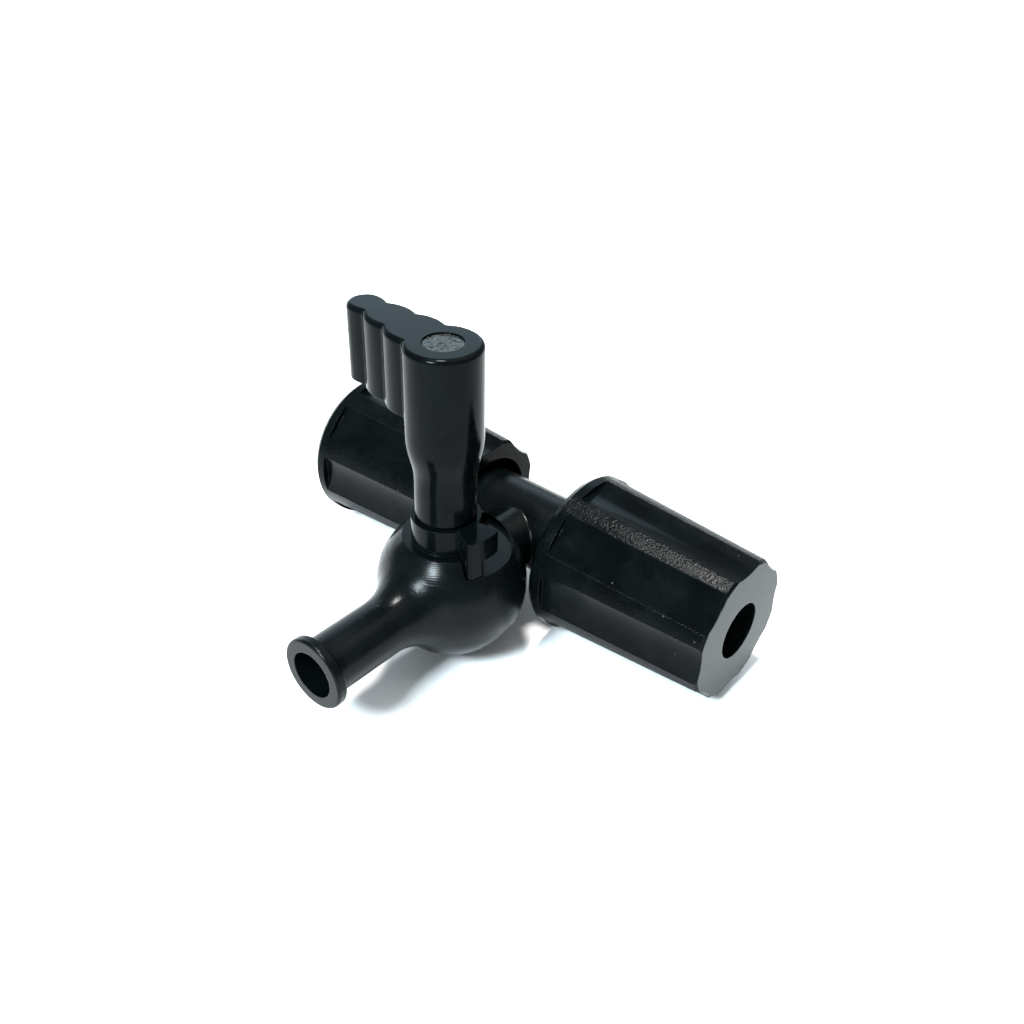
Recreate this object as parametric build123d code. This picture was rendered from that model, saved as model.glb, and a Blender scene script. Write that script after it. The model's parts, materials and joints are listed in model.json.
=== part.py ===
"""Branch shut-off valve for small-bore tube and hose, built piece by piece in millimetres.

+Z is up along the stem. The origin is the centre of the hose spigot's open end, and the spigot
points along -Y. The run of the tee lies along X, behind the ball chamber.
Every piece is modelled in its place and written to parts/NODE.step.
"""
import math
import os

from build123d import *

# ---- sizes that drive the rest ----------------------------------------------------------------
STEM_Y = 19.6              # spigot end to the stem axis
BALL_R = 3.2
CHAMBER_WALL = 4.9         # ball cavity to the outside of the round chamber
STEM_R = 2.05
LEVER_TOP = 29.34
THREAD_MAJOR_R = 7.14      # 9/16-24
TUBE_R = 3.25              # bore for 6.35 mm (1/4 in) tube
NUT_LENGTH = 20.8
LEVER_ANGLE = 173.5        # direction of the lever in the closed position, degrees from +X
TURN_TO_OPEN = 270.0 - LEVER_ANGLE

# ---- clearances -------------------------------------------------------------------------------
RUNNING = 0.05             # radial, between a turning piece and its bearing
SLIP = 0.05                # between pieces of one body that are slid together
FACE_GAP = 0.10            # along the axis, between faces that turn past each other
FREE_GAP = 0.30            # around loose turning pieces
RING_CLEAR = 0.02          # round an O-ring in its groove
SEAT_CLEAR = 0.03          # ball to seat
STOP_GAP = 2.0             # degrees, between the stop and the end of its pocket

# ---- ball, seats and plug ---------------------------------------------------------------------
BALL_BORE_R = 1.3
CAVITY_R = BALL_R + 0.2
SEAT_INNER_R = 1.5
SEAT_NEAR = BALL_R - 1.2   # ball centre to the near face of a seat
SEAT_FAR = BALL_R + 1.0    # ball centre to the far face of a seat
PLUG_BORE_R = 1.5
PLUG_RING_D = 0.75

# ---- ball chamber and spigot ------------------------------------------------------------------
CHAMBER_R = CAVITY_R + CHAMBER_WALL
CHAMBER_SHIFT = 0.8        # the round chamber is centred a little behind the stem
CHAMBER_BACK = CHAMBER_R - 1.7  # chamber centre to the seam with the tee
PLUG_RING_Y = CHAMBER_BACK - 0.8  # ball centre to the plug's O-ring
SPIGOT_R = 3.14
SPIGOT_BORE_R = 2.61
SPIGOT_BORE_DEPTH = 10.0
SPIGOT_BLEND_R = 6.0
FLANGE_R = 4.0
FLANGE_T = 1.2
FLANGE_ROUND = 0.3
FLOW_R = 1.35              # water way past the ball

# ---- stem -------------------------------------------------------------------------------------
STEM_FLANGE_R = STEM_R + 0.55
STEM_FLANGE_Z = BALL_R + 0.3
STEM_FLANGE_T = 0.45
STEM_RING_D = 0.7
STEM_RING_Z = (STEM_FLANGE_Z + 1.15, STEM_FLANGE_Z + 2.1)
TANG_W = 1.2
TANG_LENGTH = 2 * STEM_R - 0.5
TANG_Z = BALL_R - 0.8
DRIVE_FLATS = 2 * STEM_R - 1.1  # square that carries the stop ring and the lever
HEAD_T = 1.8               # round head staked in the top of the lever
HEAD_RECESS = 0.2

# ---- top of the chamber, with the pocket that the stop turns in -------------------------------
POCKET_Z = STEM_FLANGE_Z + 1.37
TOP_Z = POCKET_Z + 1.51
BOSS_TOP = TOP_Z + 0.38
BOSS_R = STEM_R + 1.57

# ---- stop ring --------------------------------------------------------------------------------
RING_R = STEM_R + 1.7
RING_T = 2.6
LUG_R = RING_R + 2.6
LUG_HALF_ANGLE = 20.0
LUG_CORNER = 0.4
STOP_WIDTH = 18.5          # degrees of the lug that reach down into the pocket
POCKET_R = LUG_R + 0.65

# ---- lever ------------------------------------------------------------------------------------
LEVER_GROOVE = 0.3         # groove between the stop ring and the neck
LEVER_GROOVE_R = STEM_R + 0.85
NECK_R = STEM_R + 1.25
HUB_R = STEM_R + 2.0
WING_BOTTOM = LEVER_TOP - 8.44
HUB_BOTTOM = WING_BOTTOM - 1.5
NECK_TOP = HUB_BOTTOM - 5.8
FLUTES = 3
FLUTE_PITCH = 3.9
FLUTE_START = HUB_R - 1.25
WING_HALF = HUB_R - 1.2    # half the wing's width in its first valley
WING_SLIM = 0.58           # that it loses at each next valley
WING_TIP = FLUTE_START + (FLUTES - 1) * FLUTE_PITCH + 3.6
WING_TIP_R = WING_HALF - (FLUTES - 1) * WING_SLIM + 0.31
FLUTE_ROUND = 0.35
FLUTE_BULGE = 0.48         # how far each scallop stands out of its chord
WING_EDGE = 0.55
WING_TIP_ROUND = 1.1

# ---- nuts, both with the same outside ---------------------------------------------------------
NUT_MOUTH_R = THREAD_MAJOR_R + 2.12
NUT_CLOSED_R = NUT_MOUTH_R - 1.14
NUT_SIDES = 8
NUT_RIM = 1.45             # round rim before the scallops start
NUT_FLAT_HALF_ANGLE = 15.5
NUT_FLAT_DEPTH = 0.72      # of a scallop below the round, at its middle
NUT_CHAMFER = 0.3
NUT_LIP = 0.65             # sloped lip ahead of the mouth's full round
NUT_LIP_DROP = 0.45
MALE_CORE_R = THREAD_MAJOR_R - 0.69

# ---- run of the tee ---------------------------------------------------------------------------
RUN_R = THREAD_MAJOR_R - 2.44
RUN_BORE_R = 2.3
BRANCH_R = RUN_R - 0.9
BRANCH_SHOW = 0.8          # branch in sight between the chamber and the run
BRANCH_BLEND = 0.35
RUN_OFFSET = CHAMBER_SHIFT + CHAMBER_R + BRANCH_SHOW + RUN_R  # stem axis to the run's axis
RUN_Y = STEM_Y + RUN_OFFSET

# ---- compression end --------------------------------------------------------------------------
MOUTH_ROOM = 0.5          # chamber to the rim of the compression nut
MOUTH_SIDE = RUN_OFFSET - CHAMBER_SHIFT - NUT_MOUTH_R
COMPRESSION_MOUTH_X = math.sqrt((CHAMBER_R + MOUTH_ROOM) ** 2 - MOUTH_SIDE ** 2)
COMPRESSION_COLLAR_X = COMPRESSION_MOUTH_X + 0.7
MALE_END_X = COMPRESSION_MOUTH_X + NUT_LENGTH - 9.0
TUBE_STOP_X = COMPRESSION_MOUTH_X + 5.0
TUBE_RING_D = 1.3
TUBE_RING_SEAT_X = MALE_END_X - 2.3
WASHER_T = 0.9
GRIP_T = 0.4
GRIP_R = TUBE_R + 2.15
GRIP_TEETH = 12
GRIP_SLOT_W = 0.35
GRIP_SLOT_R = TUBE_R + 1.15
CONE_SLOT_W = 0.6
CONE_TIP_R = TUBE_R + 0.85
CONE_SLOTS = 3
NUT_WALL = 2.8
GRIP_X = MALE_END_X + FACE_GAP + WASHER_T
CONE_X = GRIP_X + GRIP_T
GRIP_SET_X = GRIP_X - WASHER_T / 2

# ---- swivel end -------------------------------------------------------------------------------
FACE_ROOM = 0.33           # chamber to the closed end of the swivel nut
FACE_SIDE = RUN_OFFSET - CHAMBER_SHIFT - NUT_CLOSED_R
SWIVEL_FACE_X = -math.sqrt((CHAMBER_R + FACE_ROOM) ** 2 - FACE_SIDE ** 2)
SWIVEL_WALL = 2.6
SWIVEL_HOLE_R = THREAD_MAJOR_R - 1.15
TAIL_FLANGE_R = THREAD_MAJOR_R - 0.74
TAIL_FLANGE_T = 2.0
SWIVEL_WASHER_T = 1.5


def along_x(solid, x=0.0, y=RUN_Y):
    """Turn a piece built along +Z so that it runs along +X, and set it on the run's axis."""
    return Pos(x, y, 0) * Rot(0, 90, 0) * solid


def along_y(solid, y=0.0):
    """Turn a piece built along +Z so that it runs along +Y, on the flow axis."""
    return Pos(0, y, 0) * Rot(-90, 0, 0) * solid


def rod(radius, low, high):
    """Cylinder about Z between two heights."""
    return Pos(0, 0, low) * Cylinder(radius, high - low, align=(Align.CENTER, Align.CENTER, Align.MIN))


def tube(outer, inner, low, high):
    """Ring about Z between two heights."""
    return rod(outer, low, high) - rod(inner, low - 1, high + 1)


def o_ring(inner_radius, section):
    """O-ring about Z, centred on z = 0."""
    return Torus(inner_radius + section / 2, section / 2)


def turned(*edges):
    """Solid of revolution about Z from edges drawn in the XZ plane."""
    return revolve(make_face(Wire(list(edges))), Axis.Z)


def profile(points):
    """Solid of revolution about Z from straight (radius, height) corners."""
    return turned(*Polyline([(r, 0, z) for r, z in points], close=True).edges())


def sector(inner, outer, low, high, middle, half_angle):
    """Part of a ring about Z, from its middle direction and half its angle, in degrees."""
    reach = 2 * outer
    corners = [(0, 0)]
    for side in (-1, 0, 1):
        turn = math.radians(middle + side * half_angle)
        corners.append((reach * math.cos(turn), reach * math.sin(turn)))
    wedge = extrude(make_face(Polyline(corners, close=True)), high - low)
    return tube(outer, inner, low, high) & Pos(0, 0, low) * wedge


def chamber():
    """Round chamber that runs out through a concave blend into the spigot, solid throughout."""
    centre = STEM_Y + CHAMBER_SHIFT
    blend_r = SPIGOT_R + SPIGOT_BLEND_R
    blend_y = centre - math.sqrt((CHAMBER_R + SPIGOT_BLEND_R) ** 2 - blend_r ** 2)
    share = CHAMBER_R / (CHAMBER_R + SPIGOT_BLEND_R)
    join = (blend_r * share, 0, centre - (centre - blend_y) * share)
    middle_turn = (math.pi / 2 + math.atan2(blend_r, centre - blend_y)) / 2
    middle = (
        blend_r - SPIGOT_BLEND_R * math.sin(middle_turn),
        0,
        blend_y + SPIGOT_BLEND_R * math.cos(middle_turn),
    )
    seam = centre + CHAMBER_BACK
    seam_r = math.sqrt(CHAMBER_R ** 2 - CHAMBER_BACK ** 2)
    return turned(
        Line((0, 0, 0), (SPIGOT_R, 0, 0)),
        Line((SPIGOT_R, 0, 0), (SPIGOT_R, 0, blend_y)),
        ThreePointArc((SPIGOT_R, 0, blend_y), middle, join),
        ThreePointArc(join, (CHAMBER_R, 0, centre), (seam_r, 0, seam)),
        Line((seam_r, 0, seam), (0, 0, seam)),
        Line((0, 0, seam), (0, 0, 0)),
    )


def valve_body():
    """Chamber, spigot and stem boss in one moulding, open at the back for the ball."""
    flange = fillet(rod(FLANGE_R, 0, FLANGE_T).edges().filter_by(GeomType.CIRCLE), FLANGE_ROUND)
    outside = along_y(chamber() + flange)
    above = Pos(0, STEM_Y, TOP_Z) * Box(40, 24, 20, align=(Align.CENTER, Align.CENTER, Align.MIN))
    swept = STOP_WIDTH + TURN_TO_OPEN
    pocket = sector(
        0,
        POCKET_R,
        POCKET_Z,
        TOP_Z + 1,
        LEVER_ANGLE - 180 - LUG_HALF_ANGLE + swept / 2,
        swept / 2 + STOP_GAP,
    )
    outside -= above + Pos(0, STEM_Y, 0) * pocket
    outside += Pos(0, STEM_Y, 0) * rod(BOSS_R, 0, BOSS_TOP)
    throat = STEM_Y - SEAT_FAR
    passage = profile(
        [
            (0, -1),
            (SPIGOT_BORE_R, -1),
            (SPIGOT_BORE_R, SPIGOT_BORE_DEPTH),
            (FLOW_R, SPIGOT_BORE_DEPTH + SPIGOT_BORE_R - FLOW_R),
            (FLOW_R, throat),
            (CAVITY_R, throat),
            (CAVITY_R, STEM_Y + 3 * CHAMBER_R),
            (0, STEM_Y + 3 * CHAMBER_R),
        ]
    )
    flange_room = STEM_FLANGE_Z + STEM_FLANGE_T + FACE_GAP
    stem_way = rod(STEM_R + RUNNING, 0, BOSS_TOP + 1)
    stem_way += rod(STEM_FLANGE_R + RUNNING, 0, flange_room)
    return outside - along_y(passage) - Pos(0, STEM_Y, 0) * stem_way


def tee_body():
    """Run tube with a male compression end, a flanged swivel tail and the branch plug."""
    tail_end = SWIVEL_FACE_X - SWIVEL_WALL - FACE_GAP - TAIL_FLANGE_T
    run = profile(
        [
            (0, tail_end),
            (TAIL_FLANGE_R, tail_end),
            (TAIL_FLANGE_R, tail_end + TAIL_FLANGE_T),
            (RUN_R, tail_end + TAIL_FLANGE_T),
            (RUN_R, COMPRESSION_COLLAR_X),
            (MALE_CORE_R, COMPRESSION_COLLAR_X),
            (MALE_CORE_R, MALE_END_X),
            (0, MALE_END_X),
        ]
    )
    seam = CHAMBER_SHIFT + CHAMBER_BACK
    cap_depth = CHAMBER_R - CHAMBER_BACK
    cap = Pos(0, 0, CHAMBER_SHIFT) * Sphere(CHAMBER_R) & rod(CHAMBER_R, seam, seam + cap_depth)
    branch = cap + rod(BRANCH_R, seam, RUN_OFFSET) + rod(CAVITY_R - SLIP, SEAT_FAR, seam)
    outside = along_x(run) + along_y(branch, STEM_Y)
    joint = outside.edges().filter_by(GeomType.BSPLINE)
    outside = fillet(joint, BRANCH_BLEND)
    run_way = rod(RUN_BORE_R, tail_end - 1, MALE_END_X + 1)
    run_way += rod(TUBE_R, TUBE_STOP_X, MALE_END_X + 1)
    run_way += rod(TUBE_R + TUBE_RING_D, TUBE_RING_SEAT_X, MALE_END_X + 1)
    branch_way = rod(PLUG_BORE_R, 0, RUN_OFFSET)
    groove_half = PLUG_RING_D / 2 + SLIP
    floor = CAVITY_R - PLUG_RING_D
    groove = tube(CAVITY_R + 1, floor, PLUG_RING_Y - groove_half, PLUG_RING_Y + groove_half)
    return outside - along_x(run_way) - along_y(branch_way + groove, STEM_Y)


def ball():
    """Drilled ball in the closed position, slotted on top for the stem's tang."""
    bore = along_y(rod(BALL_BORE_R, -BALL_R - 1, BALL_R + 1))
    slot = upright_box(TANG_W + 2 * SLIP, 3 * BALL_R, TANG_Z - FACE_GAP, BALL_R + 1)
    flat = upright_box(3 * BALL_R, 3 * BALL_R, STEM_FLANGE_Z - FACE_GAP, BALL_R + 1)
    turned_shut = Rot(0, 0, -TURN_TO_OPEN)
    return Pos(0, STEM_Y, 0) * (Sphere(BALL_R) - turned_shut * (bore + Rot(0, 0, 90) * slot) - flat)


def seat(side):
    """Seat ring on one side of the ball, hollowed to the ball's own curve."""
    ring = tube(CAVITY_R - SLIP, SEAT_INNER_R, SEAT_NEAR, SEAT_FAR)
    ring -= Sphere(BALL_R + SEAT_CLEAR)
    return Pos(0, STEM_Y, 0) * Rot(-90 * side, 0, 0) * ring


def stem():
    """Stem with its tang, blow-out flange, two O-ring grooves, drive square and staked head."""
    ring_top = BOSS_TOP + FACE_GAP
    head_low = LEVER_TOP - HEAD_T
    body = rod(STEM_R, STEM_FLANGE_Z, ring_top)
    body += rod(STEM_FLANGE_R, STEM_FLANGE_Z, STEM_FLANGE_Z + STEM_FLANGE_T)
    body += Rot(0, 0, LEVER_ANGLE) * drive_section(DRIVE_FLATS, STEM_R, ring_top, head_low)
    body += rod(STEM_R, head_low, LEVER_TOP - HEAD_RECESS)
    body += Rot(0, 0, 90 - TURN_TO_OPEN) * upright_box(TANG_W, TANG_LENGTH, TANG_Z, STEM_FLANGE_Z)
    half = STEM_RING_D / 2 + SLIP
    for height in STEM_RING_Z:
        body -= tube(STEM_R + 1, stem_groove_r(), height - half, height + half)
    return Pos(0, STEM_Y, 0) * body


def stem_groove_r():
    """Floor of a stem groove: its O-ring just clears the boss."""
    return STEM_R + RUNNING - RING_CLEAR - STEM_RING_D


def stem_o_ring(height):
    """O-ring in one of the stem's grooves."""
    return Pos(0, STEM_Y, height) * o_ring(stem_groove_r(), STEM_RING_D)


def stop_ring():
    """Ring below the lever with a lug opposite it, part of which is the stop in the pocket."""
    low = BOSS_TOP + FACE_GAP
    high = low + RING_T
    opposite = LEVER_ANGLE - 180
    lug = sector(0, LUG_R, low, high, opposite, LUG_HALF_ANGLE)
    lug += sector(
        BOSS_R + FREE_GAP,
        LUG_R,
        POCKET_Z + FACE_GAP,
        low,
        opposite - LUG_HALF_ANGLE + STOP_WIDTH / 2,
        STOP_WIDTH / 2,
    )
    outer_corners = lug.edges().filter_by(Axis.Z).sort_by(lambda edge: edge.center().length)[-3:]
    lug = fillet(outer_corners, LUG_CORNER)
    ring = rod(RING_R, low, high) + lug
    hole = drive_section(DRIVE_FLATS + 2 * SLIP, STEM_R + SLIP, low - 1, high + 1)
    ring -= Rot(0, 0, LEVER_ANGLE) * hole
    return Pos(0, STEM_Y, 0) * ring


def bulged(start, end, bulge):
    """Arc from start to end that stands out to the left of its chord."""
    chord = (Vector(*end) - Vector(*start))
    middle = Vector(*start) + chord / 2 + Vector(-chord.Y, chord.X).normalized() * bulge
    return ThreePointArc(start, middle, end)


def wing_outline():
    """Plan of the lever's wing along +X: scallops on both sides and a round tip."""
    valleys = [
        (FLUTE_START + flute * FLUTE_PITCH, WING_HALF - flute * WING_SLIM) for flute in range(FLUTES)
    ]
    nose = (WING_TIP - WING_TIP_R, WING_TIP_R)
    root = (0, WING_HALF)
    right = [Line((root[0], -root[1]), (valleys[0][0], -valleys[0][1]))]
    for near, far in zip(valleys, valleys[1:]):
        right.append(bulged((far[0], -far[1]), (near[0], -near[1]), FLUTE_BULGE))
    last = valleys[-1]
    right.append(TangentArc((nose[0], -nose[1]), (last[0], -last[1]), tangent=(-1, 0)))
    left = [edge.mirror(Plane.XZ) for edge in right]
    tip = ThreePointArc((nose[0], -nose[1]), (WING_TIP, 0), nose)
    back = Line((root[0], -root[1]), root)
    return make_face(Wire(right + left + [tip, back]))


def lever():
    """Lever: waisted neck, round hub and fluted wing."""
    neck_low = BOSS_TOP + FACE_GAP + RING_T
    waist = (HUB_BOTTOM + NECK_TOP) / 2
    stalk = turned(
        Line((0, 0, neck_low), (LEVER_GROOVE_R, 0, neck_low)),
        Line((LEVER_GROOVE_R, 0, neck_low), (LEVER_GROOVE_R, 0, neck_low + LEVER_GROOVE)),
        Line((LEVER_GROOVE_R, 0, neck_low + LEVER_GROOVE), (NECK_R, 0, neck_low + LEVER_GROOVE)),
        Line((NECK_R, 0, neck_low + LEVER_GROOVE), (NECK_R, 0, NECK_TOP)),
        Bezier((NECK_R, 0, NECK_TOP), (NECK_R, 0, waist), (HUB_R, 0, waist), (HUB_R, 0, HUB_BOTTOM)),
        Line((HUB_R, 0, HUB_BOTTOM), (HUB_R, 0, WING_BOTTOM)),
        Line((HUB_R, 0, WING_BOTTOM), (0, 0, WING_BOTTOM)),
        Line((0, 0, WING_BOTTOM), (0, 0, neck_low)),
    )
    plan = Circle(HUB_R) + wing_outline()
    last_valley = FLUTE_START + (FLUTES - 1) * FLUTE_PITCH
    cusps = [v for v in plan.vertices() if v.X < last_valley + FLUTE_ROUND]
    plan = fillet(cusps, FLUTE_ROUND)
    head = Pos(0, 0, WING_BOTTOM) * extrude(plan, LEVER_TOP - WING_BOTTOM)
    head = fillet(head.faces().sort_by(Axis.Z)[-1].edges(), WING_EDGE)
    side = Rectangle(4 * WING_TIP, LEVER_TOP, align=(Align.MAX, Align.MIN))
    side = Pos(WING_TIP, WING_BOTTOM) * side
    side = fillet(side.vertices().sort_by(Axis.Y)[:2].sort_by(Axis.X)[-1], WING_TIP_ROUND)
    head &= extrude(Plane.XZ * side, 2 * HUB_R, both=True)
    body = stalk + head
    body -= drive_section(
        DRIVE_FLATS + 2 * SLIP, STEM_R + SLIP, neck_low - 1, LEVER_TOP - HEAD_T
    )
    body -= rod(STEM_R + SLIP, LEVER_TOP - HEAD_T - SLIP, LEVER_TOP + 1)
    return Pos(0, STEM_Y, 0) * Rot(0, 0, LEVER_ANGLE) * body


def upright_box(width, depth, low, high):
    """Box centred on the Z axis between two heights."""
    return Pos(0, 0, low) * Box(
        width, depth, high - low, align=(Align.CENTER, Align.CENTER, Align.MIN)
    )


def drive_section(across, radius, low, high):
    """Square with its corners rounded to the stem's radius, between two heights."""
    return upright_box(across, across, low, high) & rod(radius, low, high)


def nut_outside():
    """Outside of a nut along +Z, full round at z = 0: tapered, with eight long scallops."""
    taper = (NUT_MOUTH_R - NUT_CLOSED_R) / NUT_LENGTH
    outside = profile(
        [
            (0, -NUT_LIP),
            (NUT_MOUTH_R - NUT_LIP_DROP, -NUT_LIP),
            (NUT_MOUTH_R, 0),
            (NUT_CLOSED_R + taper * NUT_CHAMFER, NUT_LENGTH - NUT_CHAMFER),
            (NUT_CLOSED_R - NUT_CHAMFER, NUT_LENGTH),
            (0, NUT_LENGTH),
        ]
    )
    start_r = NUT_MOUTH_R - taper * NUT_RIM
    half_angle = math.radians(NUT_FLAT_HALF_ANGLE)
    half_width = start_r * math.sin(half_angle)
    sag = NUT_FLAT_DEPTH - start_r * (1 - math.cos(half_angle))
    hollow_r = (half_width**2 + sag**2) / (2 * sag)
    lean = Rot(0, -math.degrees(math.atan(taper)), 0)
    scallop = lean * rod(hollow_r, 0, 2 * NUT_LENGTH)
    scallop = Pos(start_r - NUT_FLAT_DEPTH + hollow_r, 0, NUT_RIM) * scallop
    for side in range(NUT_SIDES):
        outside -= Rot(0, 0, side * 360 / NUT_SIDES) * scallop
    return outside


def compression_nut():
    """Nut of the tube end: threaded mouth, cone for the grip and a small round tube hole."""
    cone_start = GRIP_SET_X - COMPRESSION_MOUTH_X
    wall = NUT_LENGTH - NUT_WALL
    inside = profile(
        [
            (0, -1),
            (THREAD_MAJOR_R + NUT_CHAMFER, -1),
            (THREAD_MAJOR_R + NUT_CHAMFER, 0),
            (THREAD_MAJOR_R, NUT_CHAMFER),
            (THREAD_MAJOR_R, cone_start),
            (GRIP_R + RUNNING, cone_start),
            (GRIP_R + RUNNING, CONE_X - COMPRESSION_MOUTH_X),
            (CONE_TIP_R + RUNNING, wall),
            (TUBE_R, wall),
            (TUBE_R, NUT_LENGTH + 1),
            (0, NUT_LENGTH + 1),
        ]
    )
    return along_x(nut_outside() - inside, COMPRESSION_MOUTH_X)


def swivel_nut():
    """Nut of the swivel end: threaded mouth and a clearance hole round the run tube."""
    wall = NUT_LENGTH - SWIVEL_WALL
    thread_end = wall - TAIL_FLANGE_T - SWIVEL_WASHER_T - FREE_GAP
    inside = profile(
        [
            (0, -1),
            (THREAD_MAJOR_R + NUT_CHAMFER, -1),
            (THREAD_MAJOR_R + NUT_CHAMFER, 0),
            (THREAD_MAJOR_R, NUT_CHAMFER),
            (THREAD_MAJOR_R, thread_end),
            (TAIL_FLANGE_R + FREE_GAP, thread_end),
            (TAIL_FLANGE_R + FREE_GAP, wall),
            (SWIVEL_HOLE_R, wall),
            (SWIVEL_HOLE_R, NUT_LENGTH + 1),
            (0, NUT_LENGTH + 1),
        ]
    )
    return along_x(nut_outside() - inside, SWIVEL_FACE_X - NUT_LENGTH)


def plug_o_ring():
    """O-ring round the tee's plug in the back of the chamber."""
    section = PLUG_RING_D - RING_CLEAR
    return along_y(o_ring(CAVITY_R - PLUG_RING_D, section), STEM_Y + PLUG_RING_Y)


def tube_o_ring():
    """O-ring round the tube, in the mouth of the tee's socket."""
    middle = TUBE_RING_SEAT_X + TUBE_RING_D / 2 + RING_CLEAR
    return along_x(o_ring(TUBE_R, TUBE_RING_D - RING_CLEAR), middle)


def thrust_washer():
    """Stepped washer that closes the O-ring's socket and carries the grip ring."""
    inner = TUBE_RING_SEAT_X + TUBE_RING_D + FACE_GAP
    socket_r = TUBE_R + TUBE_RING_D - RUNNING
    shoulder = MALE_END_X + FACE_GAP
    ring = tube(socket_r, TUBE_R, inner, shoulder) + tube(GRIP_R, TUBE_R, shoulder, GRIP_X)
    return along_x(ring)


def grip_ring():
    """Thin toothed ring whose teeth bite on the tube."""
    ring = tube(GRIP_R, TUBE_R, GRIP_X, CONE_X)
    slot = upright_box(2 * GRIP_SLOT_R, GRIP_SLOT_W, GRIP_X - 1, CONE_X + 1)
    for tooth in range(GRIP_TEETH // 2):
        ring -= Rot(0, 0, tooth * 360 / GRIP_TEETH) * slot
    return along_x(ring)


def grip_cone():
    """Split cone that the nut squeezes on the tube."""
    tip = COMPRESSION_MOUTH_X + NUT_LENGTH - NUT_WALL - FACE_GAP
    cone = profile([(TUBE_R, CONE_X), (GRIP_R, CONE_X), (CONE_TIP_R, tip), (TUBE_R, tip)])
    slot = Pos(GRIP_R, 0, 0) * upright_box(2 * GRIP_R, CONE_SLOT_W, CONE_X + GRIP_T, tip + 1)
    for split in range(CONE_SLOTS):
        cone -= Rot(0, 0, split * 360 / CONE_SLOTS) * slot
    return along_x(cone)


def swivel_washer():
    """Flat seal against the end of the swivel tail."""
    high = SWIVEL_FACE_X - SWIVEL_WALL - FACE_GAP - TAIL_FLANGE_T
    return along_x(tube(TAIL_FLANGE_R - FACE_GAP, RUN_BORE_R, high - SWIVEL_WASHER_T, high))


PARTS = {
    "tee_body": tee_body(),
    "valve_body": valve_body(),
    "ball": ball(),
    "seat_front": seat(-1),
    "seat_rear": seat(1),
    "plug_o_ring": plug_o_ring(),
    "stem": stem(),
    "stem_o_ring_lower": stem_o_ring(STEM_RING_Z[0]),
    "stem_o_ring_upper": stem_o_ring(STEM_RING_Z[1]),
    "stop_ring": stop_ring(),
    "handle": lever(),
    "compression_nut": compression_nut(),
    "tube_o_ring": tube_o_ring(),
    "thrust_washer": thrust_washer(),
    "grip_ring": grip_ring(),
    "grip_cone": grip_cone(),
    "swivel_nut": swivel_nut(),
    "swivel_washer": swivel_washer(),
}

os.makedirs("parts", exist_ok=True)
for name, solid in PARTS.items():
    export_step(solid, f"parts/{name}.step")
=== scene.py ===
"""Looks for the branch shut-off valve: moulded black plastic, soft studio light, pale floor."""
import json
import math

import bpy
from mathutils import Matrix, Vector


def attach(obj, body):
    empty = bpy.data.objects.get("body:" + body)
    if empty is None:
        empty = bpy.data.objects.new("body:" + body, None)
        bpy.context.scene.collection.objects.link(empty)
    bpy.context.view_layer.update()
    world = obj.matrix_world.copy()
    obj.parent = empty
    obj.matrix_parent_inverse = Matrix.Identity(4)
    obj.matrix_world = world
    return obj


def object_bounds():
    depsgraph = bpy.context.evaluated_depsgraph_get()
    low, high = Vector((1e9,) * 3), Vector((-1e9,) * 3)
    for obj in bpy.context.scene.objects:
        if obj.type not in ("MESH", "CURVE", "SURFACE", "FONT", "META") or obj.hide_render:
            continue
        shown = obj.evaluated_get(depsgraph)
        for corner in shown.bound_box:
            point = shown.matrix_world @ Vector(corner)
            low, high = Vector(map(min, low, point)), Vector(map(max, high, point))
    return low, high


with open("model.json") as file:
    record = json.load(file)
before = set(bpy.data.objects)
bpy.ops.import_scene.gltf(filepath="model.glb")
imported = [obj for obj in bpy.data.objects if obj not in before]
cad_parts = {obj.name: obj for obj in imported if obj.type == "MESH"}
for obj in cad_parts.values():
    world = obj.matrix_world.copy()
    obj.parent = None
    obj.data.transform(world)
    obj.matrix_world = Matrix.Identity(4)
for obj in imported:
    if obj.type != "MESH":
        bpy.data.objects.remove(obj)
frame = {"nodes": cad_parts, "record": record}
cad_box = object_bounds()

MM = 0.001
RUN_Y = 34.2 * MM          # axis of the run and of both nuts
STEM_Y = 19.6 * MM         # axis of the stem
NUT_MOUTH_R = 9.26 * MM    # round of both nuts at the mouth
NUT_TAPER = 1.14 / 20.8
SWIVEL_MOUTH_X = -27.297 * MM
COMPRESSION_MOUTH_X = 7.538 * MM
NUT_END_X = 28.338 * MM
THREAD_PITCH = 1.0583 * MM
THREAD_BORE_R = 7.14 * MM
MALE_CORE_R = 6.45 * MM
HEAD_R = 2.02 * MM         # staked end of the stem
HEAD_Z = 29.14 * MM
HEAD_DEPTH, HEAD_SINK = 0.2 * MM, 0.06 * MM
HEAD_RINGS, HEAD_RING_STEP = 14, 0.135 * MM
LUMP_SIZE, LUMP_DEPTH = 0.55 * MM, 0.26 * MM
CRUMB_SIZE, CRUMB_DEPTH = 0.16 * MM, 0.15 * MM
SMOOTH_ANGLE = math.radians(35)
TOP_R, TOP_LOW_Z = 7.0 * MM, 4.4 * MM
TOP_LINES = 0.16 * MM      # pitch of the turned lines on the chamber's flat top

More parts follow.
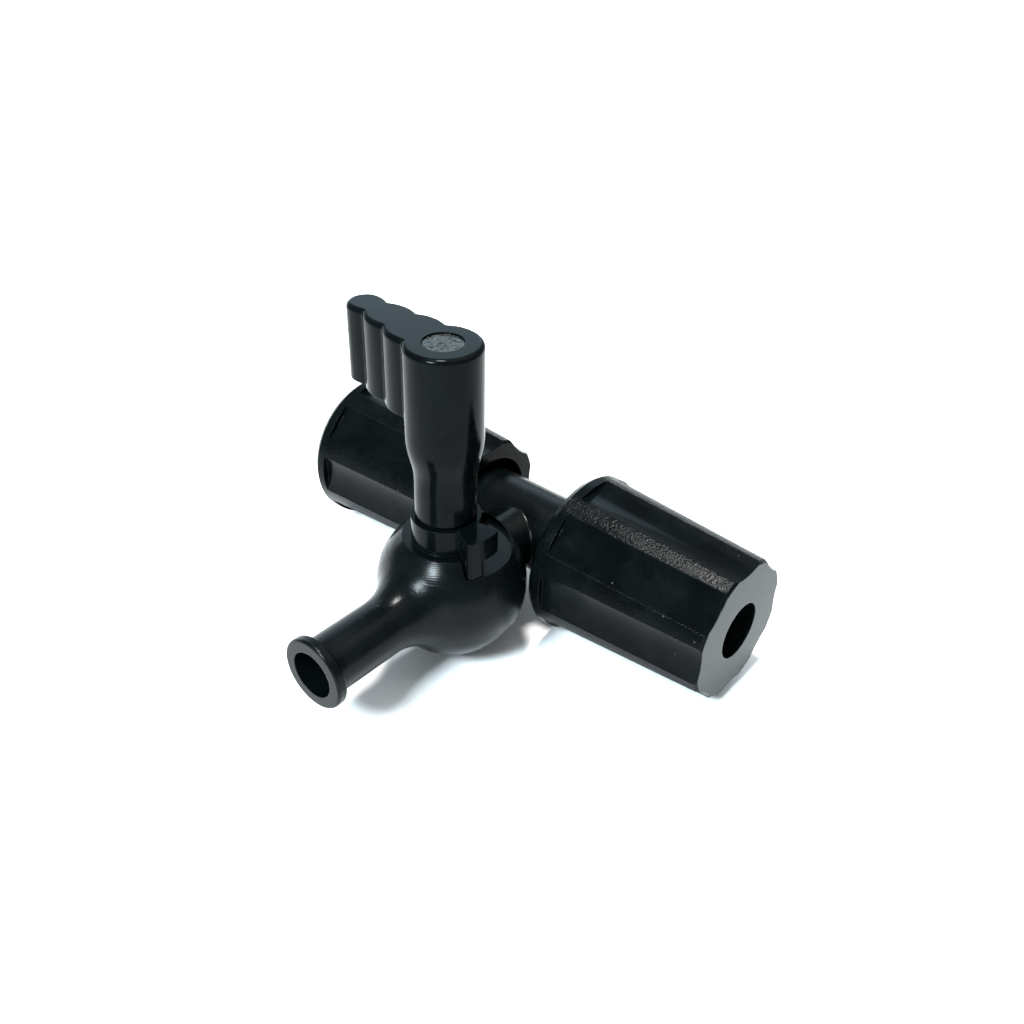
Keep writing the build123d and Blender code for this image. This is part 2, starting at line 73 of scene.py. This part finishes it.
CAMERA_AIM = Vector((2.43, 27.57, 6.49)) * MM
CAMERA_AZIMUTH, CAMERA_ELEVATION, CAMERA_ROLL = -50.445, 35.31, 1.484
CAMERA_DISTANCE = 122.45   # in millimetres
CAMERA_LENS = 39.043
FLOOR_SIZE = 6.0
FLOOR_TONES = ((0.87, 0.86, 0.855, 1), (0.91, 0.9, 0.895, 1))
WORLD_TINT = (0.86, 0.95, 1.0, 1)
WORLD_EDGE = (-0.1, 0.75)  # where the surroundings go from their front to their back level
WORLD_LEVEL = (0.45, 0.7)
SOFT_BOXES = (
    # name, azimuth, elevation, distance, width, height, radiance, tint
    ("back soft box", 134, 27, 0.9, 0.6, 0.34, 2.3, (0.58, 0.85, 1.0)),
    ("left soft box", 166, 9, 0.9, 0.6, 0.24, 2.6, (0.82, 0.95, 1.0)),
    ("top soft box", 60, 74, 0.8, 0.85, 0.85, 1.2, (1.0, 0.98, 0.96)),
    ("ceiling window", 165, 83, 0.8, 0.12, 0.12, 190.0, (1.0, 0.99, 0.98)),
    ("front window", -87, 42, 0.7, 0.15, 0.15, 150.0, (0.78, 0.93, 1.0)),
)

BLACK = (0.0008, 0.0013, 0.0015, 1)
CLOUDY = (0.0018, 0.0028, 0.0031, 1)
# lighter edge colour: partly rubbed wear, partly a painted highlight along edges
RUBBED_AND_GLINT = (0.012, 0.015, 0.016, 1)
DUSTY = (0.035, 0.038, 0.037, 1)
# painted reflection: lighter colour for the right nut's closed end face, standing for the bright
# floor it reflects
END_FACE_REFLECTION = (0.036, 0.041, 0.039, 1)
CRUSHED = (0.045, 0.05, 0.048, 1)
GLOSS = 0.045              # specular level of nuts and lever
GLOSS_BODY = 0.085
GLOSS_HEAD = 0.3
EDGE_RADIUS = 0.13 * MM
DUST_AMOUNT = 0.2
FEW_SPECKS = 0.06          # share of cells that hold a speck where the amount is 1
PLAIN_GRAIN = 3000.0       # grain of the inside pieces
FLOAT, VECTOR = "NodeSocketFloat", "NodeSocketVector"


# ---- camera, floor and light ------------------------------------------------------------------
def compass(azimuth, elevation):
    """Direction out from the valve; azimuth is counted from +X towards +Y."""
    turn, rise = math.radians(azimuth), math.radians(elevation)
    return Vector((math.cos(turn) * math.cos(rise), math.sin(turn) * math.cos(rise), math.sin(rise)))


def add_camera():
    """Camera in front and to the right, looking down on the valve."""
    back = compass(CAMERA_AZIMUTH, CAMERA_ELEVATION)
    data = bpy.data.cameras.new("camera")
    data.lens = CAMERA_LENS
    data.clip_start = 5 * MM
    data.clip_end = 10
    seen = bpy.data.objects.new("camera", data)
    bpy.context.scene.collection.objects.link(seen)
    roll = Matrix.Rotation(math.radians(CAMERA_ROLL), 3, "Z")
    turned = (-back).to_track_quat("-Z", "Y").to_matrix() @ roll
    seen.matrix_world = Matrix.Translation(CAMERA_AIM + back * CAMERA_DISTANCE * MM) @ turned.to_4x4()
    bpy.context.scene.camera = seen


def add_light(name, azimuth, elevation, distance, width, height, radiance, tint):
    """Soft box that faces the valve. Radiance is how bright its own face looks."""
    out = compass(azimuth, elevation)
    data = bpy.data.lights.new(name, "AREA")
    data.shape = "RECTANGLE"
    data.size = width
    data.size_y = height
    data.energy = radiance * math.pi * width * height
    data.color = tint
    light = bpy.data.objects.new(name, data)
    bpy.context.scene.collection.objects.link(light)
    turned = out.to_track_quat("Z", "Y").to_matrix().to_4x4()
    light.matrix_world = Matrix.Translation(CAMERA_AIM + out * distance) @ turned


def add_floor():
    """Wide pale floor under the valve's lowest point."""
    bpy.ops.object.select_all(action="DESELECT")
    bpy.ops.mesh.primitive_plane_add(size=FLOOR_SIZE, location=(0, 0, cad_box[0].z))
    plane = bpy.context.object
    plane.name = "floor"
    paint, graph, shader = new_material("floor_paint")
    where = graph.place()
    fine = graph.noise(where, 900.0, 3.0, 0.6)
    graph.set(shader.inputs["Base Color"], graph.mix(fine, *FLOOR_TONES))
    graph.set(shader.inputs["Normal"], graph.bump(fine, 0.01 * MM))
    shader.inputs["Roughness"].default_value = 0.8
    plane.data.materials.append(paint)


def add_world():
    """Dim surroundings in front, pale ones behind."""
    sky = bpy.data.worlds.new("studio")
    sky.use_nodes = True
    bpy.context.scene.world = sky
    nodes, links = sky.node_tree.nodes, sky.node_tree.links
    place = nodes.new("ShaderNodeTexCoord")
    axis = nodes.new("ShaderNodeVectorMath")
    axis.operation = "DOT_PRODUCT"
    axis.inputs[1].default_value = compass(110, 12)
    ramp = nodes.new("ShaderNodeMapRange")
    ramp.interpolation_type = "SMOOTHSTEP"
    ramp.inputs["From Min"].default_value = WORLD_EDGE[0]
    ramp.inputs["From Max"].default_value = WORLD_EDGE[1]
    ramp.inputs["To Min"].default_value = WORLD_LEVEL[0]
    ramp.inputs["To Max"].default_value = WORLD_LEVEL[1]
    links.new(place.outputs["Generated"], axis.inputs[0])
    links.new(axis.outputs["Value"], ramp.inputs["Value"])
    links.new(ramp.outputs["Result"], nodes["Background"].inputs["Strength"])
    nodes["Background"].inputs["Color"].default_value = WORLD_TINT


# ---- node helpers -----------------------------------------------------------------------------
def new_material(name):
    """Material, its node graph and its Principled shader."""
    paint = bpy.data.materials.new(name)
    paint.use_nodes = True
    return paint, Graph(paint.node_tree), paint.node_tree.nodes["Principled BSDF"]


class Graph:
    """Short way to place and join nodes in one tree."""

    def __init__(self, tree):
        self.tree = tree

    def set(self, socket, value):
        if isinstance(value, bpy.types.NodeSocket):
            self.tree.links.new(value, socket)
        else:
            socket.default_value = value

    def math(self, operation, *values, clamp=False):
        node = self.tree.nodes.new("ShaderNodeMath")
        node.operation = operation
        node.use_clamp = clamp
        for socket, value in zip(node.inputs, values):
            self.set(socket, value)
        return node.outputs[0]

    def distance(self, first, second):
        """Distance from an axis, given the two parts of a place across it."""
        squares = [self.math("POWER", part, 2.0) for part in (first, second)]
        return self.math("SQRT", self.math("ADD", *squares))

    def step(self, value, low, high, out_low=0.0, out_high=1.0):
        """Smooth step of a value from low to high."""
        node = self.tree.nodes.new("ShaderNodeMapRange")
        node.interpolation_type = "SMOOTHSTEP"
        for key, given in (
            ("Value", value),
            ("From Min", low),
            ("From Max", high),
            ("To Min", out_low),
            ("To Max", out_high),
        ):
            self.set(node.inputs[key], given)
        return node.outputs["Result"]

    def place(self):
        """Object coordinates."""
        return self.tree.nodes.new("ShaderNodeTexCoord").outputs["Object"]

    def parts(self, vector):
        """The three parts of a vector."""
        node = self.tree.nodes.new("ShaderNodeSeparateXYZ")
        self.tree.links.new(vector, node.inputs[0])
        return node.outputs[0], node.outputs[1], node.outputs[2]

    def noise(self, where, scale, detail=2.0, roughness=0.5, distortion=0.0):
        node = self.tree.nodes.new("ShaderNodeTexNoise")
        self.set(node.inputs["Vector"], where)
        self.set(node.inputs["Scale"], scale)
        self.set(node.inputs["Detail"], detail)
        self.set(node.inputs["Roughness"], roughness)
        self.set(node.inputs["Distortion"], distortion)
        return node.outputs["Fac"]

    def mix(self, share, first, second):
        node = self.tree.nodes.new("ShaderNodeMix")
        node.data_type = "RGBA"
        self.set(node.inputs[0], share)
        self.set(node.inputs[6], first)
        self.set(node.inputs[7], second)
        return node.outputs[2]

    def bump(self, height, distance, strength=1.0, normal=None):
        node = self.tree.nodes.new("ShaderNodeBump")
        self.set(node.inputs["Height"], height)
        node.inputs["Distance"].default_value = distance
        node.inputs["Strength"].default_value = strength
        if normal is not None:
            self.tree.links.new(normal, node.inputs["Normal"])
        return node.outputs["Normal"]

    def group(self, tree, **values):
        node = self.tree.nodes.new("ShaderNodeGroup")
        node.node_tree = tree
        for key, value in values.items():
            self.set(node.inputs[key.replace("_", " ")], value)
        return node.outputs


def new_group(name, inputs, outputs):
    """Empty node group with named float or vector sockets."""
    tree = bpy.data.node_groups.new(name, "ShaderNodeTree")
    for key, kind, value in inputs:
        socket = tree.interface.new_socket(key, in_out="INPUT", socket_type=kind)
        if value is not None:
            socket.default_value = value
    for key, kind in outputs:
        tree.interface.new_socket(key, in_out="OUTPUT", socket_type=kind)
    return tree, Graph(tree), tree.nodes.new("NodeGroupInput"), tree.nodes.new("NodeGroupOutput")


def grain_group():
    """Spark-eroded grain: small pits of two sizes, as a height and a roughness mask."""
    tree, graph, given, out = new_group(
        "spark grain",
        [("Place", VECTOR, None), ("Scale", FLOAT, 7000.0)],
        [("Height", FLOAT), ("Mask", FLOAT)],
    )
    where, scale = given.outputs["Place"], given.outputs["Scale"]
    fine = graph.noise(where, scale, 2.0, 0.6)
    coarse = graph.noise(where, graph.math("MULTIPLY", scale, 0.38), 1.0, 0.5)
    cells = tree.nodes.new("ShaderNodeTexVoronoi")
    graph.set(cells.inputs["Vector"], where)
    graph.set(cells.inputs["Scale"], graph.math("MULTIPLY", scale, 0.6))
    height = graph.math("ADD", graph.math("MULTIPLY", fine, 0.5), graph.math("MULTIPLY", coarse, 0.7))
    height = graph.math("ADD", height, graph.math("MULTIPLY", cells.outputs["Distance"], 0.35))
    graph.set(out.inputs["Height"], height)
    graph.set(out.inputs["Mask"], graph.step(fine, 0.35, 0.65))
    return tree


def flow_group():
    """Slow flow marks and faint sink of moulded plastic."""
    tree, graph, given, out = new_group(
        "flow marks",
        [("Place", VECTOR, None), ("Scale", FLOAT, 260.0)],
        [("Height", FLOAT), ("Tone", FLOAT)],
    )
    where, scale = given.outputs["Place"], given.outputs["Scale"]
    slow = graph.noise(where, scale, 3.0, 0.55, 0.8)
    quick = graph.noise(where, graph.math("MULTIPLY", scale, 6.0), 2.0, 0.6)
    graph.set(out.inputs["Height"], graph.math("ADD", slow, graph.math("MULTIPLY", quick, 0.12)))
    graph.set(out.inputs["Tone"], graph.step(slow, 0.3, 0.7))
    return tree


def dust_group():
    """Scattered pale specks, mostly on surfaces that face up."""
    tree, graph, given, out = new_group(
        "dust",
        [("Place", VECTOR, None), ("Scale", FLOAT, 1500.0), ("Amount", FLOAT, 0.5)],
        [("Mask", FLOAT)],
    )
    cells = tree.nodes.new("ShaderNodeTexVoronoi")
    graph.set(cells.inputs["Vector"], given.outputs["Place"])
    graph.set(cells.inputs["Scale"], given.outputs["Scale"])
    pick = tree.nodes.new("ShaderNodeSeparateColor")
    graph.set(pick.inputs[0], cells.outputs["Color"])
    few = graph.math("MULTIPLY", given.outputs["Amount"], FEW_SPECKS)
    chosen = graph.math("GREATER_THAN", pick.outputs[0], graph.math("SUBTRACT", 1.0, few))
    round_spot = graph.step(cells.outputs["Distance"], 0.08, 0.22, 1.0, 0.0)
    facing = tree.nodes.new("ShaderNodeNewGeometry")
    up = graph.parts(facing.outputs["Normal"])[2]
    upward = graph.step(up, -0.3, 0.6, 0.25, 1.0)
    specks = graph.math("MULTIPLY", chosen, round_spot)
    graph.set(out.inputs["Mask"], graph.math("MULTIPLY", specks, upward))
    return tree


def scratch_group():
    """Fine hairline scratches in one direction."""
    tree, graph, given, out = new_group(
        "hairlines",
        [("Place", VECTOR, None), ("Stretch", VECTOR, (1.0, 1.0, 1.0)), ("Scale", FLOAT, 3000.0)],
        [("Mask", FLOAT)],
    )
    scaled = tree.nodes.new("ShaderNodeVectorMath")
    scaled.operation = "MULTIPLY"
    graph.set(scaled.inputs[0], given.outputs["Place"])
    graph.set(scaled.inputs[1], given.outputs["Stretch"])
    lines = graph.noise(scaled.outputs[0], given.outputs["Scale"], 2.0, 0.7)
    graph.set(out.inputs["Mask"], graph.step(lines, 0.55, 0.75))
    return tree


def edge_group():
    """Edges softened by a small radius, and a patchy mask of where they are; the mask lightens edges
    for rubbed wear and as a painted edge highlight.
    """
    tree, graph, given, out = new_group(
        "edge wear and glint",
        [("Place", VECTOR, None)],
        [("Normal", VECTOR), ("Mask", FLOAT)],
    )
    soft = tree.nodes.new("ShaderNodeBevel")
    soft.samples = 6
    soft.inputs["Radius"].default_value = EDGE_RADIUS
    plain = tree.nodes.new("ShaderNodeNewGeometry")
    along = tree.nodes.new("ShaderNodeVectorMath")
    along.operation = "DOT_PRODUCT"
    graph.set(along.inputs[0], soft.outputs[0])
    graph.set(along.inputs[1], plain.outputs["Normal"])
    bend = graph.step(along.outputs["Value"], 0.8, 0.99, 1.0, 0.0)
    patchy = graph.noise(given.outputs["Place"], 1800.0, 3.0, 0.6)
    graph.set(out.inputs["Normal"], soft.outputs[0])
    graph.set(out.inputs["Mask"], graph.math("MULTIPLY", bend, graph.step(patchy, 0.35, 0.7)))
    return tree


EDGES = edge_group()
GRAIN = grain_group()
FLOW = flow_group()
DUST = dust_group()
SCRATCH = scratch_group()


def finish_plastic(graph, shader, where, grain_share, smooth, rough, depth, pale=None):
    """Black plastic whose grain comes and goes with a mask, lighter at edges for rubbing and as a
    painted edge highlight, with a painted reflection on a pale face where one is given, and lightly
    dusty.
    """
    grain = graph.group(GRAIN, Place=where)
    flow = graph.group(FLOW, Place=where)
    edges = graph.group(EDGES, Place=where)
    dust_mask = graph.group(DUST, Place=where, Amount=DUST_AMOUNT)["Mask"]
    base = graph.mix(flow["Tone"], BLACK, CLOUDY)
    # painted reflection: where the pale mask is given, the colour is mixed towards a lighter tone for
    # the floor that face reflects
    if pale is not None:
        base = graph.mix(pale, base, END_FACE_REFLECTION)
    # edges made lighter: rubbed wear together with a painted edge highlight
    base = graph.mix(edges["Mask"], base, RUBBED_AND_GLINT)
    base = graph.mix(dust_mask, base, DUSTY)
    graph.set(shader.inputs["Base Color"], base)
    level = graph.step(grain_share, 0.0, 1.0, smooth, rough)
    drift = graph.math("MULTIPLY", graph.math("SUBTRACT", flow["Tone"], 0.5), 0.05)
    level = graph.math("ADD", level, drift)
    level = graph.math("ADD", level, graph.math("MULTIPLY", dust_mask, 0.3), clamp=True)
    graph.set(shader.inputs["Roughness"], level)
    height = graph.math("MULTIPLY", grain["Height"], grain_share)
    height = graph.math("ADD", height, graph.math("MULTIPLY", flow["Height"], 0.25))
    height = graph.math("ADD", height, graph.math("MULTIPLY", dust_mask, 0.5))
    graph.set(shader.inputs["Normal"], graph.bump(height, depth, normal=edges["Normal"]))
    shader.inputs["Specular IOR Level"].default_value = GLOSS


def body_material():
    """Chamber, spigot and run: spark grain, but fine turned lines on the chamber's flat top."""
    paint, graph, shader = new_material("body_plastic")
    where = graph.place()
    x, y, z = graph.parts(where)
    out = graph.distance(x, graph.math("SUBTRACT", y, STEM_Y))
    high = graph.step(z, TOP_LOW_Z, TOP_LOW_Z + 0.3 * MM)
    near = graph.step(out, TOP_R, TOP_R + 0.1 * MM, 1.0, 0.0)
    on_top = graph.math("MULTIPLY", high, near)
    grained = graph.math("SUBTRACT", 1.0, graph.math("MULTIPLY", on_top, 0.8))
    finish_plastic(graph, shader, where, grained, smooth=0.18, rough=0.24, depth=0.014 * MM)
    lines = graph.math("SINE", graph.math("MULTIPLY", out, 2 * math.pi / TOP_LINES))
    lines = graph.math("MULTIPLY", graph.math("MULTIPLY", lines, 0.5), on_top)
    shader.inputs["Specular IOR Level"].default_value = GLOSS_BODY
    was = shader.inputs["Normal"].links[0].from_socket
    graph.set(shader.inputs["Normal"], graph.bump(lines, 0.004 * MM, normal=was))
    return paint


def nut_material():
    """Both nuts: smooth scallops between grained lands, and a painted reflection that makes the right
    nut's closed end paler.
    """
    paint, graph, shader = new_material("nut_plastic")
    where = graph.place()
    x, y, z = graph.parts(where)
    across = graph.math("SUBTRACT", y, RUN_Y)
    out = graph.distance(across, z)
    right = graph.math("GREATER_THAN", x, 0.0)
    shift = graph.math("MULTIPLY", right, COMPRESSION_MOUTH_X - SWIVEL_MOUTH_X)
    mouth = graph.math("ADD", shift, SWIVEL_MOUTH_X)
    drop = graph.math("MULTIPLY", graph.math("SUBTRACT", x, mouth), NUT_TAPER)
    round_r = graph.math("SUBTRACT", NUT_MOUTH_R, drop)
    land = graph.step(graph.math("SUBTRACT", out, round_r), -0.05 * MM, -0.01 * MM)
    # closed end face of the right nut only; it carries the painted reflection (pale mask) and a share
    # of grain
    face = graph.step(x, NUT_END_X - 0.03 * MM, NUT_END_X - 0.01 * MM)
    grained = graph.math("MAXIMUM", land, graph.math("MULTIPLY", face, 0.4))
    finish_plastic(graph, shader, where, grained, smooth=0.14, rough=0.2, depth=0.034 * MM, pale=face)
    return paint


def lever_material():
    """Lever and stop ring: smooth, with faint hairlines along the wing."""
    paint, graph, shader = new_material("lever_plastic")
    where = graph.place()
    lines = graph.group(SCRATCH, Place=where, Stretch=(0.08, 1.0, 1.0), Scale=2600.0)["Mask"]
    grained = graph.math("ADD", 0.12, graph.math("MULTIPLY", lines, 0.18))
    finish_plastic(graph, shader, where, grained, smooth=0.13, rough=0.3, depth=0.012 * MM)
    return paint


def head_material():
    """Staked head of the stem: crushed, pitted, paler where it was melted."""
    paint, graph, shader = new_material("staked_plastic")
    where = graph.place()
    crumbs = graph.noise(where, 3600.0, 3.0, 0.65)
    grain = graph.group(GRAIN, Place=where, Scale=5200.0)
    edges = graph.group(EDGES, Place=where)
    graph.set(shader.inputs["Base Color"], graph.mix(graph.step(crumbs, 0.5, 0.6), BLACK, CRUSHED))
    graph.set(shader.inputs["Roughness"], graph.step(crumbs, 0.3, 0.7, 0.2, 0.45))
    height = graph.math("ADD", crumbs, grain["Height"])
    graph.set(shader.inputs["Normal"], graph.bump(height, 0.05 * MM, normal=edges["Normal"]))
    shader.inputs["Specular IOR Level"].default_value = GLOSS_HEAD
    return paint


def plain_material(name, color, second, roughness, depth):
    """Small inside pieces: one colour with a little mottling and its own grain."""
    paint, graph, shader = new_material(name)
    where = graph.place()
    grain = graph.group(GRAIN, Place=where, Scale=PLAIN_GRAIN)
    flow = graph.group(FLOW, Place=where)
    graph.set(shader.inputs["Base Color"], graph.mix(flow["Tone"], color, second))
    level = graph.step(grain["Mask"], 0.0, 1.0, roughness, roughness + 0.12)
    graph.set(shader.inputs["Roughness"], level)
    edges = graph.group(EDGES, Place=where)
    graph.set(shader.inputs["Normal"], graph.bump(grain["Height"], depth, normal=edges["Normal"]))
    return paint


# ---- pieces added in Blender ------------------------------------------------------------------
def finish_piece(name, body, paint):
    """Apply the active object's place and modifiers, smooth it and let it ride on a body."""
    piece = bpy.context.object
    piece.name = name
    bpy.ops.object.transform_apply(location=True, rotation=True, scale=True)
    for modifier in list(piece.modifiers):
        bpy.ops.object.modifier_apply(modifier=modifier.name)
    bpy.ops.object.mode_set(mode="EDIT")
    bpy.ops.mesh.select_all(action="SELECT")
    bpy.ops.mesh.remove_doubles(threshold=0.001 * MM)
    bpy.ops.mesh.normals_make_consistent(inside=False)
    bpy.ops.object.mode_set(mode="OBJECT")
    bpy.ops.object.shade_smooth_by_angle(angle=SMOOTH_ANGLE)
    piece.data.materials.append(paint)
    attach(piece, body)
    return piece


def staked_head(paint):
    """Crushed end of the stem: rings drawn in, then lumps of two sizes."""
    bpy.ops.object.select_all(action="DESELECT")
    place = (0, STEM_Y, HEAD_Z - HEAD_SINK)
    bpy.ops.mesh.primitive_cylinder_add(vertices=56, radius=HEAD_R, depth=HEAD_DEPTH, location=place)
    bpy.ops.object.transform_apply(location=True, rotation=False, scale=False)
    piece = bpy.context.object
    bpy.ops.object.mode_set(mode="EDIT")
    bpy.ops.mesh.select_mode(type="FACE")
    bpy.ops.mesh.select_all(action="DESELECT")
    bpy.ops.object.mode_set(mode="OBJECT")
    for face in piece.data.polygons:
        face.select = face.normal.z > 0.9
    bpy.ops.object.mode_set(mode="EDIT")
    for _ in range(HEAD_RINGS):
        bpy.ops.mesh.inset(thickness=HEAD_RING_STEP, depth=0)
    bpy.ops.object.mode_set(mode="OBJECT")
    coarse = bpy.data.textures.new("crushed lumps", "STUCCI")
    coarse.noise_scale = LUMP_SIZE
    fine = bpy.data.textures.new("crumbs", "CLOUDS")
    fine.noise_scale = CRUMB_SIZE
    top = piece.vertex_groups.new(name="top")
    inner = [
        v.index
        for v in piece.data.vertices
        if v.co.z > HEAD_Z and math.hypot(v.co.x, v.co.y - STEM_Y) < 0.97 * HEAD_R
    ]
    top.add(inner, 1.0, "REPLACE")
    for texture, depth in ((coarse, LUMP_DEPTH), (fine, CRUMB_DEPTH)):
        lumps = piece.modifiers.new(texture.name, "DISPLACE")
        lumps.texture = texture
        lumps.texture_coords = "LOCAL"
        lumps.direction = "Z"
        lumps.vertex_group = "top"
        lumps.strength = depth
        lumps.mid_level = 0.55
    return finish_piece("staked_head", "lever", paint)


def thread(name, ends, root_r, tip_r, phase, body, paint):
    """Helical ridge about the run's axis, from one profile wound along it."""
    bpy.ops.object.select_all(action="DESELECT")
    bpy.ops.mesh.primitive_plane_add(size=1, location=(0, RUN_Y, 0))
    ridge = bpy.context.object
    start, end = ends
    half_root, half_tip = 0.42 * THREAD_PITCH, 0.08 * THREAD_PITCH
    first = start + half_root + phase * THREAD_PITCH
    corners = ((-half_root, root_r), (-half_tip, tip_r), (half_tip, tip_r), (half_root, root_r))
    order = sorted(ridge.data.vertices, key=lambda v: math.atan2(v.co.y, v.co.x))
    for vertex, (step, radius) in zip(order, corners):
        vertex.co = (first + step, radius, 0)
    turns = int((end - first - half_root) / THREAD_PITCH)
    wind = ridge.modifiers.new("wind", "SCREW")
    wind.axis = "X"
    wind.angle = 2 * math.pi
    wind.screw_offset = THREAD_PITCH
    wind.iterations = turns
    wind.steps = 64
    wind.render_steps = 64
    wind.use_merge_vertices = False
    bpy.ops.object.modifier_apply(modifier=wind.name)
    return finish_piece(name, body, paint)


add_camera()
add_world()
add_floor()
for soft_box in SOFT_BOXES:
    add_light(*soft_box)
bpy.context.scene.view_settings.view_transform = "Standard"

# slot: first colour, second colour, roughness, depth of grain
PLAIN_FINISHES = {
    "stem_plastic": (BLACK, CLOUDY, 0.35, 0.02 * MM),
    "ball_plastic": ((0.72, 0.71, 0.67, 1), (0.66, 0.64, 0.59, 1), 0.2, 0.002 * MM),
    "seat_ptfe": ((0.82, 0.82, 0.8, 1), (0.76, 0.76, 0.73, 1), 0.4, 0.003 * MM),
    "seal_rubber": ((0.011, 0.011, 0.012, 1), (0.018, 0.018, 0.018, 1), 0.5, 0.01 * MM),
    "grip_plastic": ((0.7, 0.67, 0.58, 1), (0.62, 0.59, 0.5, 1), 0.35, 0.004 * MM),
    "grip_steel": ((0.55, 0.55, 0.54, 1), (0.5, 0.5, 0.49, 1), 0.25, 0.003 * MM),
}
FINISHES = {
    "body_plastic": body_material(),
    "nut_plastic": nut_material(),
    "lever_plastic": lever_material(),
}
for slot, finish in PLAIN_FINISHES.items():
    FINISHES[slot] = plain_material(slot, *finish)
steel = FINISHES["grip_steel"].node_tree.nodes["Principled BSDF"]
steel.inputs["Metallic"].default_value = 1.0
for subpart in frame["record"]["subparts"]:
    slots = frame["nodes"][subpart["node"]].data.materials
    slots.clear()
    slots.append(FINISHES[subpart["material_slot"]])

staked_head(head_material())
SWIVEL_TURNS = (SWIVEL_MOUTH_X, -12.9 * MM)
MATING_TURNS = (COMPRESSION_MOUTH_X + 0.4 * MM, 19.3 * MM)
for name, ends, root_r, tip_r, phase, body, slot in (
    ("swivel_thread", SWIVEL_TURNS, THREAD_BORE_R, 6.75 * MM, 0.0, "swivel_nut", "nut_plastic"),
    ("nut_thread", MATING_TURNS, THREAD_BORE_R, 6.78 * MM, 0.0, "compression_nut", "nut_plastic"),
    ("tee_thread", MATING_TURNS, MALE_CORE_R, 6.93 * MM, 0.5, "tee", "body_plastic"),
):
    thread(name, ends, root_r, tip_r, phase, body, FINISHES[slot])
